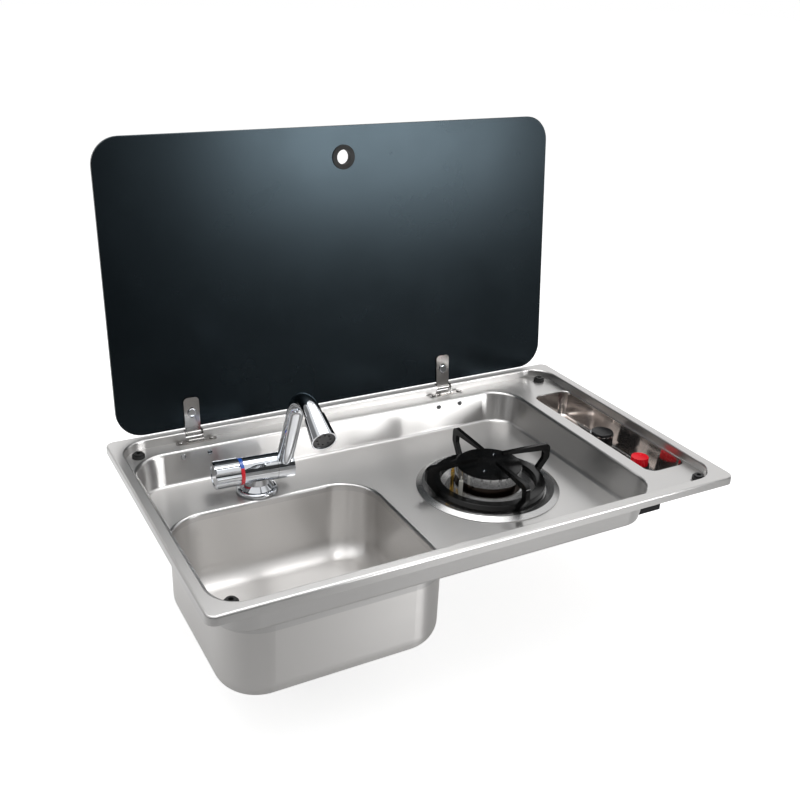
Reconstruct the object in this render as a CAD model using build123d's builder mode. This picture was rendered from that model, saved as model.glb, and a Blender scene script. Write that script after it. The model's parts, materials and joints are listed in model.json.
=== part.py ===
"""Drop-in caravan sink and single gas burner under a hinged glass lid.

Millimetres. X runs to the right, Y to the back and Z up. The origin is the middle of the
rim's underside, which is where the worktop's surface lies. The lid stands open and leans
back, the spout is up, the gas is off and the tap is shut.
"""
import math
import os

from build123d import *

# ---------------------------------------------------------------- sheet metal
sheet = 1.0
rim_width = 600.0
rim_depth = 358.0
rim_height = 9.5
rim_corner = 10.0
rim_edge_radius = 2.4
flange_width = 12.5
recess_corner = 30.0
recess_drop = 10.0
recess_edge_radius = 2.0

pan_from_left = 5.5
pan_from_front = 9.0
pan_from_back = 23.0
pan_bridge = 17.8
pan_corner = 38.0
pan_drop = 37.5
pan_draft = 9.1
pan_edge_radius = 3.5
pan_floor_radius = 4.0

trough_width = 54.0
trough_from_right = 1.2
trough_from_front = 47.5
trough_from_back = 58.5
trough_corner = 12.0
trough_drop = 33.0
trough_draft = 4.3
trough_edge_radius = 1.0
trough_floor_radius = 3.0

bowl_from_left = 9.2
bowl_from_front = 9.7
burner_bay = 250.5
tap_bay = 79.0
bowl_corner = 45.0
bowl_drop = 88.5
bowl_draft = 0.7
bowl_floor_radius = 22.0
bowl_lip_radius = 3.0
bowl_lip_land = 0.2
bowl_neck = 8.0

# ---------------------------------------------------------------- seal and rests
seal_width = 2.0
seal_height = 6.0
bumper_from_side = 17.0
bumper_from_back = 18.5
bumper_from_front = 12.5
bumper_radius = 7.0
bumper_height = 5.7
bumper_foot_height = 3.4
bumper_head_radius = 5.4
bumper_round = 0.8
bumper_stem_radius = 2.5
bumper_stem_length = 4.0
lid_rest_gap = 0.3

# ---------------------------------------------------------------- glass lid
lid_side_gap = 2.0
lid_front_gap = 1.01
lid_corner = 30.0
lid_glass_thickness = 5.0
lid_lean = 4.975
lid_arris = 0.6
lid_edge_to_pivot = 7.7
lid_pivot_depth = 0.63
pivot_to_flange = 5.71
thumb_hole_down = 35.6
thumb_hole_x = -0.6
grommet_bore = 8.5
grommet_barrel = 12.0
grommet_flange = 14.0
grommet_lip = 1.2

# ---------------------------------------------------------------- lid hinges
hinge_spacing = 333.5
hinge_sheet = 1.5
hinge_width = 18.0
strap_length = 36.0
strap_corner = 5.0
strap_pad = 0.5
strap_pad_margin = 1.0
strap_screw_up = 18.0
strap_slot_width = 5.0
strap_slot_length = 13.0
strap_head_radius = 5.2
strap_head_height = 2.0
strap_head_round = 1.2
strap_nut_radius = 8.0
strap_nut_height = 2.5
strap_nut_round = 1.0
strap_bush_radius = 4.5
knuckle_radius = 3.0
hinge_pin_radius = 1.5
running_gap = 0.05
side_gap = 0.3
notch_gap = 1.5
knuckle_gap = 0.4
ear_gap = 0.5
bracket_half_width = 26.0
bracket_tab_drop = 11.5
bracket_bend = 2.7
bracket_ear_radius = 3.0
hinge_screw_spacing = 37.0
hinge_screw_from_wall = 5.5
hinge_screw_radius = 1.75
hinge_screw_head_radius = 3.0
hinge_screw_head_height = 1.6
hinge_screw_head_round = 0.95
hinge_nut_flats = 5.5
hinge_nut_height = 2.4
cover_half_length = 24.0
cover_width = 9.4
cover_bead_radius = 1.7
rivet_spacing = 31.0
rivet_shift = -6.0
rivet_drop = 7.0
rivet_radius = 1.6
rivet_head_radius = 2.8
rivet_head_height = 1.2
rivet_head_round = 0.1

# ---------------------------------------------------------------- tap
tap_left_of_bowl = 0.8
tap_from_bowl = 23.9
tap_rest_turn = -4.3
tap_axis_z = -11.0
tap_gasket_height = 1.0
tap_gasket_radius = 20.5
tap_flange_radius = 23.4
tap_flange_height = 4.5
tap_flange_round = 2.7
tap_shank_radius = 15.0
tap_shank_length = 30.0
tap_hole_radius = 15.5
tap_pivot_radius = 11.0
tap_pivot_length = 9.0
tap_pivot_floor = 1.0
tap_neck_radius = 19.0
tap_neck_top_radius = 14.5
tap_neck_step = 0.5
tap_barrel_radius = 15.3
tap_body_left = 16.8
tap_body_right = 21.2
tap_ring_width = 4.0
tap_nut_flats = 38.0
tap_nut_height = 7.0
tap_washer_radius = 20.5
tap_washer_height = 1.5
tap_tail_radius = 3.6
tap_tail_bore = 2.6
tap_tail_offset = 6.8
tap_tail_length = 62.0
tap_tail_end_radius = 4.0
tap_tail_end_length = 15.0
cartridge_radius = 10.0
cartridge_length = 14.0
cartridge_bore = 5.0
spindle_radius = 3.5
spindle_reach = 22.0
spindle_grip = 11.2
handle_radius = 15.75
handle_length = 28.0
handle_flutes = 9
handle_flute_radius = 6.0
handle_flute_depth = 1.5
handle_bevel = 1.5
handle_cap_radius = 11.5
handle_cap_depth = 2.0
handle_cap_height = 1.4
handle_cap_round = 0.8
sleeve_length = 19.2
spigot_radius = 8.0
spigot_length = 11.0

spout_lean = 27.8
spout_radius = 9.3
spout_height = 138.3
spout_bend_radius = 43.0
nozzle_dip = 24.8
nozzle_length = 75.1
nozzle_head_length = 30.0
nozzle_joint_radius = 10.9
nozzle_mouth_radius = 13.0
nozzle_wall = 1.4
aerator_length = 8.0
aerator_recess = 1.5
aerator_holes = 8
aerator_hole_radius = 1.1
aerator_circle = 7.0

# ---------------------------------------------------------------- waste
waste_y = -54.0
waste_hole_radius = 20.0
waste_flange_radius = 26.0
waste_flange_height = 1.6
waste_strainer_drop = 3.0
waste_gasket_height = 2.5
waste_cup_radius = 24.0
waste_cup_height = 14.0
waste_cup_round = 3.0
waste_wall = 2.0
waste_tail_radius = 12.5
waste_tail_bore = 10.0
waste_tail_length = 26.0
waste_screw_radius = 2.5
waste_screw_head_radius = 5.0
waste_screw_round = 1.0
waste_web_width = 7.5
waste_strainer_holes = 8
waste_strainer_hole_radius = 3.0
waste_strainer_circle = 11.0

# ---------------------------------------------------------------- burner
burner_from_right = 126.8
burner_forward = 5.5
deck_hole_radius = 58.0
dish_radius = 82.5
dish_ridge_radius = 76.0
dish_ridge_height = 4.2
dish_flat_outer = 67.0
dish_flat_inner = 55.0
dish_flat_height = 1.5
dish_well_radius = 50.0
dish_well_drop = 5.0
dish_bore = 41.5
burner_collar_radius = 41.0
burner_collar_height = 10.5
burner_moat_radius = 37.5
burner_moat_depth = 4.5
burner_flange_radius = 49.0
burner_flange_height = 2.5
burner_neck_radius = 32.5
burner_neck_bore = 29.0
burner_cup_radius = 34.0
burner_cup_depth = 17.0
burner_cup_wall = 3.0
crown_radius = 37.4
crown_height = 11.5
crown_skirt = 6.0
crown_wall = 3.0
crown_ports = 24
crown_port_width = 1.8
crown_port_height = 6.0
cap_radius = 37.2
cap_height = 3.0
cap_crown = 1.2
cap_rivet_radius = 2.8
cap_rivet_height = 1.4
cap_rivet_slot = 0.9
cap_dimple_radius = 3.6
cap_dimple_depth = 1.2
cap_dimple_reach = 22.0
cap_dimple_turn = 43.0
cap_z = -7.5
venturi_radius = 9.0
venturi_bore = 7.0
venturi_reach = 47.0
venturi_drop = 9.0
injector_radius = 4.0
injector_length = 9.0
injector_gap = 7.0
injector_bore = 1.0
holder_width = 16.0
probe_circle = 45.0
probe_radius = 2.2
probe_tip_radius = 1.5
probe_top = -6.0
probe_tip_length = 5.0
probe_angle = 172.0
spark_radius = 2.4
spark_top = -16.0
spark_wire_radius = 0.8
spark_wire_length = 5.0
spark_angle = 194.0
probe_depth = 18.0

trivet_ring_inner = 55.0
trivet_ring_outer = 65.5
trivet_ring_height = 6.3
trivet_ring_lift = 3.2
trivet_ring_bevel = 0.8
trivet_arms = 4
trivet_turn = -2.0
trivet_blade = 5.0
trivet_reach = 81.5
trivet_top = 2.3
trivet_bar_height = 7.6
trivet_tip_radius = 17.0
trivet_tip_height = 3.4
trivet_knee_drop = 18.0
trivet_leg_width = 8.5
trivet_foot_inner = 57.5
trivet_foot_outer = 66.5
trivet_outer_bend = 7.0
trivet_inner_bend = 4.0

# ---------------------------------------------------------------- gas valve and knob
valve_right_of_trough = 2.7
valve_behind_trough = 6.5
valve_width = 30.0
valve_front = 20.0
valve_back = 17.0
valve_height = 26.0
valve_corner = 3.0
valve_gap = 1.5
valve_neck_radius = 6.0
valve_shoulder_radius = 9.0
valve_neck_rise = 3.5
valve_neck_bore = 3.0
plug_radius = 7.0
plug_height = 15.0
plug_floor = 4.0
gas_spindle_length = 36.0
knob_radius = 14.0
knob_top_radius = 13.4
knob_top = -8.5
knob_height = 21.5
knob_skirt_bore = 12.4
knob_skirt_depth = 5.0
knob_crown = 4.0
knob_top_round = 1.5
knob_ring_radius = 14.3
knob_ring_inner = 12.4
knob_ring_height = 1.4
knob_ring_down = 2.6
knob_travel = 2.5
bezel_radius = 11.0
bezel_height = 2.0

# ---------------------------------------------------------------- gas pipes
pipe_axis_drop = 17.0
feed_pipe_radius = 4.0
feed_pipe_end_radius = 3.7
feed_pipe_bore = 3.0
feed_pipe_length = 63.0
burner_pipe_radius = 3.0
burner_pipe_bore = 2.0
pipe_nut_flats = 14.0
pipe_nut_length = 9.0

# ---------------------------------------------------------------- ignition
igniter_from_front = 50.0
igniter_collar_radius = 12.0
igniter_collar_height = 14.0
igniter_cap_radius = 10.3
igniter_cap_height = 13.5
igniter_cap_flutes = 14
igniter_flute_radius = 2.0
igniter_flute_depth = 0.8
igniter_cap_top = -10.5
igniter_wall_gap = 0.4
igniter_stem_radius = 3.0
igniter_stem_length = 14.0
igniter_stem_room = 3.0
igniter_travel = 3.0
igniter_well_floor = 4.0
igniter_barrel_radius = 10.0
igniter_barrel_length = 18.0
igniter_spring_outer = 6.0
igniter_spring_inner = 4.0
igniter_box_width = 38.0
igniter_box_depth = 36.0
igniter_box_height = 19.0
igniter_box_left_of_trough = 22.3
igniter_box_round = 1.5

# ---------------------------------------------------------------- worked-out places
rim_top = rim_height
recess_width = rim_width - 2 * flange_width
recess_depth = rim_depth - 2 * flange_width
recess_right = recess_width / 2
recess_back = recess_depth / 2

trough_x = recess_right - trough_from_right - trough_width / 2
trough_front = trough_from_front - recess_back
trough_depth = recess_depth - trough_from_front - trough_from_back
trough_y = trough_front + trough_depth / 2

pan_left = pan_from_left - recess_right
pan_front = pan_from_front - recess_back
pan_right = trough_x - trough_width / 2 - pan_bridge
pan_back = recess_back - pan_from_back
pan_width = pan_right - pan_left
pan_depth = pan_back - pan_front
pan_x = (pan_left + pan_right) / 2
pan_y = (pan_front + pan_back) / 2

bowl_width = pan_width - bowl_from_left - burner_bay
bowl_depth = pan_depth - bowl_from_front - tap_bay
bowl_x = pan_left + bowl_from_left + bowl_width / 2
bowl_y = pan_front + bowl_from_front + bowl_depth / 2

tap_x = bowl_x - tap_left_of_bowl
tap_y = bowl_y + bowl_depth / 2 + tap_from_bowl
burner_x = pan_right - burner_from_right
burner_y = pan_y - burner_forward
valve_x = trough_x + valve_right_of_trough
valve_y = trough_y + valve_behind_trough
igniter_y = trough_front + igniter_from_front

ledge_z = rim_top - recess_drop
deck_z = ledge_z - pan_drop
deck_under = deck_z - sheet
neck_z = deck_z - bowl_neck
bowl_z = deck_z - bowl_drop
trough_z = ledge_z - trough_drop
trough_under = trough_z - sheet
ledge_under = ledge_z - sheet
nut_top = ledge_under - hinge_sheet
pan_back_wall = pan_back + sheet

lid_seat_z = ledge_z + bumper_height + lid_rest_gap
pivot_y = recess_back + pivot_to_flange
pivot_z = lid_seat_z - lid_pivot_depth
hinge_places = {"left": pan_x - hinge_spacing / 2, "right": pan_x + hinge_spacing / 2}
lid_width = recess_width - 2 * lid_side_gap
lid_height = recess_depth + pivot_to_flange - lid_edge_to_pivot - lid_front_gap
thumb_hole_y = lid_edge_to_pivot + lid_height - thumb_hole_down
lean = math.radians(lid_lean)
lid_plane = Plane(origin=(0, pivot_y, pivot_z), x_dir=(1, 0, 0),
                  z_dir=(0, -math.cos(lean), math.sin(lean)))
lid_normal = Axis(lid_plane.origin, lid_plane.z_dir)
glass_front = -lid_pivot_depth
glass_back = glass_front - lid_glass_thickness
strap_back = glass_front + strap_pad
strap_front = strap_back + hinge_sheet
strap_screw_y = lid_edge_to_pivot + strap_screw_up

tap_flange_z = deck_z + tap_gasket_height
tap_flange_top = tap_flange_z + tap_flange_height
tap_shank_end = deck_z - tap_shank_length
tap_pivot_z = tap_flange_top - tap_pivot_length
tail_top = tap_pivot_z - tap_pivot_floor

waste_under = bowl_z - sheet
waste_cup_top = waste_under - waste_gasket_height

dish_well_z = deck_z - dish_well_drop
dish_well_under = dish_well_z - sheet
burner_flange_under = dish_well_under - burner_flange_height
collar_top = dish_well_z + burner_collar_height
crown_top = cap_z - cap_height
crown_bottom = crown_top - crown_height
cup_bottom = burner_flange_under - burner_cup_depth
trivet_foot_z = deck_z + dish_flat_height
trivet_ring_z = trivet_foot_z + trivet_ring_lift

valve_top = trough_under - valve_gap
valve_bottom = valve_top - valve_height
valve_neck_top = trough_z + valve_neck_rise
pipe_z = valve_top - pipe_axis_drop
valve_left = valve_x - valve_width / 2
venturi_end = burner_x + venturi_reach
injector_x = venturi_end + injector_gap
holder_x = injector_x + injector_length

bumper_places = [(way * (recess_right - bumper_from_side), y) for way in (-1, 1)
                 for y in (bumper_from_front - recess_back, recess_back - bumper_from_back)]
screw_row = [(x + way * hinge_screw_spacing / 2, recess_back - hinge_screw_from_wall)
             for x in hinge_places.values() for way in (-1, 1)]
rivet_row = [(x + rivet_shift + way * rivet_spacing / 2, ledge_z - rivet_drop)
             for x in hinge_places.values() for way in (-1, 1)]

os.makedirs("parts", exist_ok=True)


def finish(part, name):
    """Label one finished piece and write it to its own file."""
    part.label = name
    export_step(part, f"parts/{name}.step")


def soften(edges, radius):
    """Round edges unless the radius has been used up by the sheet's thickness."""
    if radius > 0:
        fillet(edges, radius)


def new_edges(part, height):
    """The edges that the last step left at one height."""
    return part.edges(Select.LAST).filter_by_position(Axis.Z, height - 0.01, height + 0.01)


def tube(outer, inner):
    """Draw a ring."""
    Circle(outer)
    Circle(inner, mode=Mode.SUBTRACT)


# ================================================================ pressed top
def bowl_mouth(skin, neck):
    """The hollow where the deck turns down into the bowl, its walls moved out by skin."""
    with BuildPart() as mouth:
        with BuildSketch(Plane.XY.offset(deck_z - skin)):
            with Locations((bowl_x, bowl_y)):
                grow = bowl_lip_radius + bowl_lip_land
                RectangleRounded(bowl_width + 2 * grow, bowl_depth + 2 * grow, bowl_corner + grow)
        extrude(amount=skin if skin else pan_floor_radius)
        with BuildSketch(Plane.XY.offset(deck_z - skin)):
            with Locations((bowl_x, bowl_y)):
                RectangleRounded(bowl_width + 2 * skin, bowl_depth + 2 * skin, bowl_corner + skin)
        extrude(amount=skin - neck)
        fillet(new_edges(mouth, deck_z - skin), bowl_lip_radius - skin)
    return mouth.part


def hollow(skin, headroom):
    """The form pressed into the sheet: lid recess, pan and control trough."""
    with BuildPart() as form:
        with BuildSketch(Plane.XY.offset(rim_top - skin)):
            RectangleRounded(recess_width + flange_width, recess_depth + flange_width,
                             recess_corner + flange_width / 2)
        extrude(amount=headroom)
        with BuildSketch(Plane.XY.offset(rim_top - skin)):
            RectangleRounded(recess_width + 2 * skin, recess_depth + 2 * skin, recess_corner + skin)
        extrude(amount=-recess_drop)
        fillet(new_edges(form, rim_top - skin), recess_edge_radius - skin)
        with BuildSketch(Plane.XY.offset(ledge_z)):
            with Locations((pan_x, pan_y)):
                RectangleRounded(pan_width + 2 * skin, pan_depth + 2 * skin, pan_corner + skin)
        extrude(amount=-(pan_drop + skin), taper=pan_draft)
        fillet(new_edges(form, ledge_z - skin), pan_edge_radius - skin)
        fillet(form.edges().group_by(Axis.Z)[0], pan_floor_radius + skin)
        with BuildSketch(Plane.XY.offset(ledge_z)):
            with Locations((trough_x, trough_y)):
                RectangleRounded(trough_width + 2 * skin, trough_depth + 2 * skin,
                                 trough_corner + skin)
        extrude(amount=-(trough_drop + skin), taper=trough_draft)
        soften(new_edges(form, ledge_z - skin), trough_edge_radius - skin)
        fillet(form.edges().filter_by_position(Axis.Z, trough_z - skin - 0.01,
                                               trough_z - skin + 0.01),
               trough_floor_radius + skin)
    return form.part


outside_form = hollow(sheet, sheet)
inside_form = hollow(0, recess_drop)
outside_mouth = bowl_mouth(sheet, bowl_neck)
inside_mouth = bowl_mouth(0, 2 * bowl_neck)

with BuildPart() as sink_top:
    with BuildSketch():
        RectangleRounded(rim_width, rim_depth, rim_corner)
    extrude(amount=rim_height)
    fillet(sink_top.edges().group_by(Axis.Z)[-1], rim_edge_radius)
    with BuildSketch():
        RectangleRounded(rim_width - 2 * sheet, rim_depth - 2 * sheet, rim_corner - sheet)
    extrude(amount=rim_height - sheet, mode=Mode.SUBTRACT)
    fillet(new_edges(sink_top, rim_top - sheet), rim_edge_radius - sheet)
    add(outside_form)
    add(outside_mouth)
    add(inside_form, mode=Mode.SUBTRACT)
    add(inside_mouth, mode=Mode.SUBTRACT)
    # notches through the back wall and flange, one for each hinge
    with BuildSketch(Plane.XY.offset(pivot_z - knuckle_radius - knuckle_gap)):
        for x in hinge_places.values():
            with Locations((x, recess_back - notch_gap)):
                Rectangle(hinge_width + 2 * notch_gap,
                          pivot_to_flange + notch_gap + knuckle_radius + knuckle_gap,
                          align=(Align.CENTER, Align.MIN))
    extrude(amount=rim_height, mode=Mode.SUBTRACT)
    # holes through the ledge: bumper stems and hinge screws
    with BuildSketch(Plane.XY.offset(ledge_z)):
        with Locations(*bumper_places):
            Circle(bumper_stem_radius)
        with Locations(*screw_row):
            Circle(hinge_screw_radius)
    extrude(amount=-2 * sheet, mode=Mode.SUBTRACT)
    # rivet holes through the pan's back wall
    with BuildSketch(Plane.XZ.offset(-(pan_back_wall - pan_corner / 2))):
        with Locations(*rivet_row):
            Circle(rivet_radius)
    extrude(amount=-pan_corner, mode=Mode.SUBTRACT)
    # tap and burner holes through the deck
    with BuildSketch(Plane.XY.offset(deck_z)):
        with Locations((tap_x, tap_y)):
            Circle(tap_hole_radius)
        with Locations((burner_x, burner_y)):
            Circle(deck_hole_radius)
    extrude(amount=-2 * sheet, mode=Mode.SUBTRACT)
    # valve neck and igniter holes through the trough's floor
    with BuildSketch(Plane.XY.offset(trough_z)):
        with Locations((valve_x, valve_y)):
            Circle(valve_neck_radius)
        with Locations((valve_x, igniter_y)):
            Circle(igniter_barrel_radius)
    extrude(amount=-2 * sheet, mode=Mode.SUBTRACT)
finish(sink_top.part, "sink_top")


# ================================================================ bowl
def bowl_form(skin):
    """The bowl below its neck, its walls moved out by skin."""
    with BuildPart() as form:
        with BuildSketch(Plane.XY.offset(neck_z)):
            with Locations((bowl_x, bowl_y)):
                RectangleRounded(bowl_width + 2 * skin, bowl_depth + 2 * skin, bowl_corner + skin)
        extrude(amount=-(bowl_drop - bowl_neck + skin), taper=bowl_draft)
        fillet(form.edges().group_by(Axis.Z)[0], bowl_floor_radius + skin)
    return form.part


bowl_outside = bowl_form(sheet)
bowl_inside = bowl_form(0)

with BuildPart() as sink_bowl:
    add(bowl_outside)
    add(bowl_inside, mode=Mode.SUBTRACT)
    with BuildSketch(Plane.XY.offset(bowl_z)):
        with Locations((bowl_x, waste_y)):
            Circle(waste_hole_radius)
    extrude(amount=-2 * sheet, mode=Mode.SUBTRACT)
finish(sink_bowl.part, "sink_bowl")

# ================================================================ seal and bumpers
with BuildPart() as rim_seal:
    with BuildSketch():
        RectangleRounded(rim_width - 2 * sheet, rim_depth - 2 * sheet, rim_corner - sheet)
        RectangleRounded(rim_width - 2 * (sheet + seal_width), rim_depth - 2 * (sheet + seal_width),
                         rim_corner - sheet - seal_width, mode=Mode.SUBTRACT)
    extrude(amount=seal_height)
finish(rim_seal.part, "rim_seal")

ledge_plane = Plane.XY.offset(ledge_z)
with BuildPart() as lid_bumpers:
    with BuildSketch(ledge_plane):
        with Locations(*bumper_places):
            Circle(bumper_radius)
    extrude(amount=bumper_foot_height)
    with BuildSketch(ledge_plane):
        with Locations(*bumper_places):
            Circle(bumper_head_radius)
    extrude(amount=bumper_height)
    fillet(lid_bumpers.edges().group_by(Axis.Z)[-1], bumper_round)
    with BuildSketch(ledge_plane.offset(bumper_height)):
        with Locations(*bumper_places):
            Circle(bumper_stem_radius)
    extrude(amount=-bumper_height / 2, mode=Mode.SUBTRACT)
    with BuildSketch(ledge_plane):
        with Locations(*bumper_places):
            Circle(bumper_stem_radius)
    extrude(amount=-bumper_stem_length)
finish(lid_bumpers.part, "lid_bumpers")

# ================================================================ lid
with BuildPart() as lid_glass:
    with BuildSketch(lid_plane.offset(glass_back)):
        with Locations((0, lid_edge_to_pivot)):
            RectangleRounded(lid_width, lid_height, lid_corner, align=(Align.CENTER, Align.MIN))
        with Locations((thumb_hole_x, thumb_hole_y)):
            Circle(grommet_barrel, mode=Mode.SUBTRACT)
        for x in hinge_places.values():
            with Locations((x, strap_screw_y)):
                Circle(strap_bush_radius, mode=Mode.SUBTRACT)
    extrude(amount=lid_glass_thickness)
    broad_faces = lid_glass.faces().filter_by(lid_plane).sort_by(SortBy.AREA)[-2:]
    chamfer([edge for face in broad_faces for edge in face.outer_wire().edges()], lid_arris)
finish(lid_glass.part, "lid_glass")

with BuildPart() as thumb_grommet:
    with BuildSketch(lid_plane.offset(glass_back)):
        with Locations((thumb_hole_x, thumb_hole_y)):
            tube(grommet_barrel, grommet_bore)
    extrude(amount=lid_glass_thickness)
    for start, lip in ((glass_front, grommet_lip), (glass_back, -grommet_lip)):
        with BuildSketch(lid_plane.offset(start)):
            with Locations((thumb_hole_x, thumb_hole_y)):
                tube(grommet_flange, grommet_bore)
        extrude(amount=lip)
finish(thumb_grommet.part, "thumb_grommet")

# ================================================================ hinges
pin_half = hinge_width / 2 + notch_gap + ear_gap + hinge_sheet
draft_slope = math.tan(math.radians(pan_draft))
tab_top = ledge_under - bracket_bend
tab_end = ledge_under - bracket_tab_drop
tab_top_y = pan_back_wall - draft_slope * (ledge_z - tab_top)
tab_end_y = pan_back_wall - draft_slope * (ledge_z - tab_end)
ear_back = pivot_y + bracket_ear_radius

# straps: plates on the glass, each ending in an eye round its pin
for side, hinge_x in hinge_places.items():
    with BuildPart() as strap:
        with BuildSketch(lid_plane.offset(strap_back)) as strap_outline:
            with Locations((hinge_x, 0)):
                Rectangle(hinge_width, lid_edge_to_pivot + strap_length,
                          align=(Align.CENTER, Align.MIN))
            fillet(strap_outline.vertices().group_by(Axis.Y)[-1], strap_corner)
            with Locations((hinge_x, strap_screw_y)):
                SlotOverall(strap_slot_length, strap_slot_width, rotation=90, mode=Mode.SUBTRACT)
        extrude(amount=hinge_sheet)
        with BuildSketch(Plane.YZ.offset(hinge_x - hinge_width / 2)):
            with Locations((pivot_y, pivot_z)):
                Circle(knuckle_radius)
        extrude(amount=hinge_width)
        with BuildSketch(Plane.YZ.offset(hinge_x - hinge_width / 2)):
            with Locations((pivot_y, pivot_z)):
                Circle(hinge_pin_radius + running_gap)
        extrude(amount=hinge_width, mode=Mode.SUBTRACT)
    finish(strap.part, f"hinge_strap_{side}")

with BuildPart() as strap_pads:
    with BuildSketch(lid_plane.offset(glass_front)):
        for x in hinge_places.values():
            with Locations((x, strap_screw_y)):
                RectangleRounded(hinge_width - 2 * strap_pad_margin,
                                 strap_length - 2 * (strap_pad_margin + sheet), strap_corner)
                Circle(strap_slot_width / 2, mode=Mode.SUBTRACT)
    extrude(amount=strap_pad)
finish(strap_pads.part, "strap_pads")

with BuildPart() as hinge_pins:
    for x in hinge_places.values():
        with BuildSketch(Plane.YZ.offset(x - pin_half)):
            with Locations((pivot_y, pivot_z)):
                Circle(hinge_pin_radius)
        extrude(amount=2 * pin_half)
finish(hinge_pins.part, "hinge_pins")

# brackets: under the ledge, down the pan's back wall, with two ears behind each notch
with BuildPart() as hinge_brackets:
    for x in hinge_places.values():
        with BuildSketch(Plane.YZ.offset(x - bracket_half_width)):
            with BuildLine():
                Polyline((ear_back, ledge_under), (tab_top_y + bracket_bend, ledge_under),
                         (tab_top_y, tab_top), (tab_end_y, tab_end),
                         (tab_end_y + hinge_sheet, tab_end),
                         (tab_top_y + hinge_sheet, tab_top - hinge_sheet / 2),
                         (tab_top_y + bracket_bend + hinge_sheet / 2, ledge_under - hinge_sheet),
                         (ear_back, ledge_under - hinge_sheet), close=True)
            make_face()
        extrude(amount=2 * bracket_half_width)
    with BuildSketch(Plane.XY.offset(ledge_under)):
        for x in hinge_places.values():
            for way in (-1, 1):
                with Locations((x + way * bracket_half_width, ear_back)):
                    Rectangle(2 * (bracket_half_width - pin_half), 2 * (ear_back - recess_back))
    extrude(amount=-2 * hinge_sheet, mode=Mode.SUBTRACT)
    for x in hinge_places.values():
        for ear_x in (x - pin_half, x + pin_half - hinge_sheet):
            with BuildSketch(Plane.YZ.offset(ear_x)):
                with Locations((pivot_y, pivot_z)):
                    Circle(bracket_ear_radius)
                with Locations((pivot_y, nut_top)):
                    Rectangle(2 * bracket_ear_radius, pivot_z - nut_top,
                              align=(Align.CENTER, Align.MIN))
                with Locations((pivot_y, pivot_z)):
                    Circle(hinge_pin_radius, mode=Mode.SUBTRACT)
            extrude(amount=hinge_sheet)
    with BuildSketch(Plane.XY.offset(ledge_under)):
        with Locations(*screw_row):
            Circle(hinge_screw_radius)
    extrude(amount=-hinge_sheet, mode=Mode.SUBTRACT)
    with BuildSketch(Plane.XZ.offset(-(pan_back_wall - pan_corner / 2))):
        with Locations(*rivet_row):
            Circle(rivet_radius)
    extrude(amount=-pan_corner, mode=Mode.SUBTRACT)
finish(hinge_brackets.part, "hinge_brackets")

# cover strips on the ledge, each with a rolled bead under its strap's path
with BuildPart() as hinge_covers:
    with BuildSketch(ledge_plane):
        for x in hinge_places.values():
            with Locations((x, recess_back - hinge_screw_from_wall)):
                SlotOverall(2 * cover_half_length, cover_width)
        with Locations(*screw_row):
            Circle(hinge_screw_radius, mode=Mode.SUBTRACT)
    extrude(amount=sheet)
    for x in hinge_places.values():
        with BuildSketch(Plane.YZ.offset(x - hinge_width / 2)):
            with Locations((recess_back - hinge_screw_from_wall, ledge_z + cover_bead_radius)):
                Circle(cover_bead_radius)
        extrude(amount=hinge_width)
finish(hinge_covers.part, "hinge_covers")

with BuildPart() as strap_screws:
    for x in hinge_places.values():
        with BuildSketch(lid_plane.offset(strap_front)):
            with Locations((x, strap_screw_y)):
                Circle(strap_head_radius)
        extrude(amount=strap_head_height)
    fillet(strap_screws.edges().group_by(lid_normal)[-1], strap_head_round)
    for x in hinge_places.values():
        with BuildSketch(lid_plane.offset(glass_back)):
            with Locations((x, strap_screw_y)):
                Circle(strap_slot_width / 2)
        extrude(amount=strap_front - glass_back)
finish(strap_screws.part, "strap_screws")

with BuildPart() as strap_bushes:
    for x in hinge_places.values():
        with BuildSketch(lid_plane.offset(glass_back)):
            with Locations((x, strap_screw_y)):
                tube(strap_bush_radius, strap_slot_width / 2)
        extrude(amount=lid_glass_thickness)
finish(strap_bushes.part, "strap_bushes")

with BuildPart() as strap_nuts:
    for x in hinge_places.values():
        with BuildSketch(lid_plane.offset(glass_back)):
            with Locations((x, strap_screw_y)):
                Circle(strap_nut_radius)
        extrude(amount=-strap_nut_height)
    fillet(strap_nuts.edges().group_by(lid_normal)[0], strap_nut_round)
finish(strap_nuts.part, "strap_nuts")

with BuildPart() as hinge_screws:
    with BuildSketch(Plane.XY.offset(ledge_z + sheet)):
        with Locations(*screw_row):
            Circle(hinge_screw_head_radius)
    extrude(amount=hinge_screw_head_height)
    fillet(hinge_screws.edges().group_by(Axis.Z)[-1], hinge_screw_head_round)
    with BuildSketch(Plane.XY.offset(ledge_z + sheet)):
        with Locations(*screw_row):
            Circle(hinge_screw_radius)
    extrude(amount=-(3 * sheet + hinge_sheet + hinge_nut_height))
finish(hinge_screws.part, "hinge_screws")

with BuildPart() as hinge_nuts:
    with BuildSketch(Plane.XY.offset(nut_top)):
        with Locations(*screw_row):
            RegularPolygon(hinge_nut_flats / 2, 6, major_radius=False)
            Circle(hinge_screw_radius, mode=Mode.SUBTRACT)
    extrude(amount=-hinge_nut_height)
finish(hinge_nuts.part, "hinge_nuts")

rivet_inside = pan_back_wall - sheet - draft_slope * rivet_drop
rivet_grip = 2 * sheet + hinge_sheet
with BuildPart() as wall_rivets:
    for x, z in rivet_row:
        wall_plane = Plane(origin=(x, rivet_inside, z), x_dir=(1, 0, 0),
                           z_dir=(0, -math.cos(math.radians(pan_draft)),
                                  math.sin(math.radians(pan_draft))))
        with BuildSketch(wall_plane):
            Circle(rivet_head_radius)
        extrude(amount=rivet_head_height)
    fillet(wall_rivets.edges().filter_by(GeomType.CIRCLE).group_by(Axis.Y)[0], rivet_head_round)
    with BuildSketch(Plane.XZ.offset(-rivet_inside)):
        with Locations(*rivet_row):
            Circle(rivet_radius)
    extrude(amount=-rivet_grip)
finish(wall_rivets.part, "wall_rivets")

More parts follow.
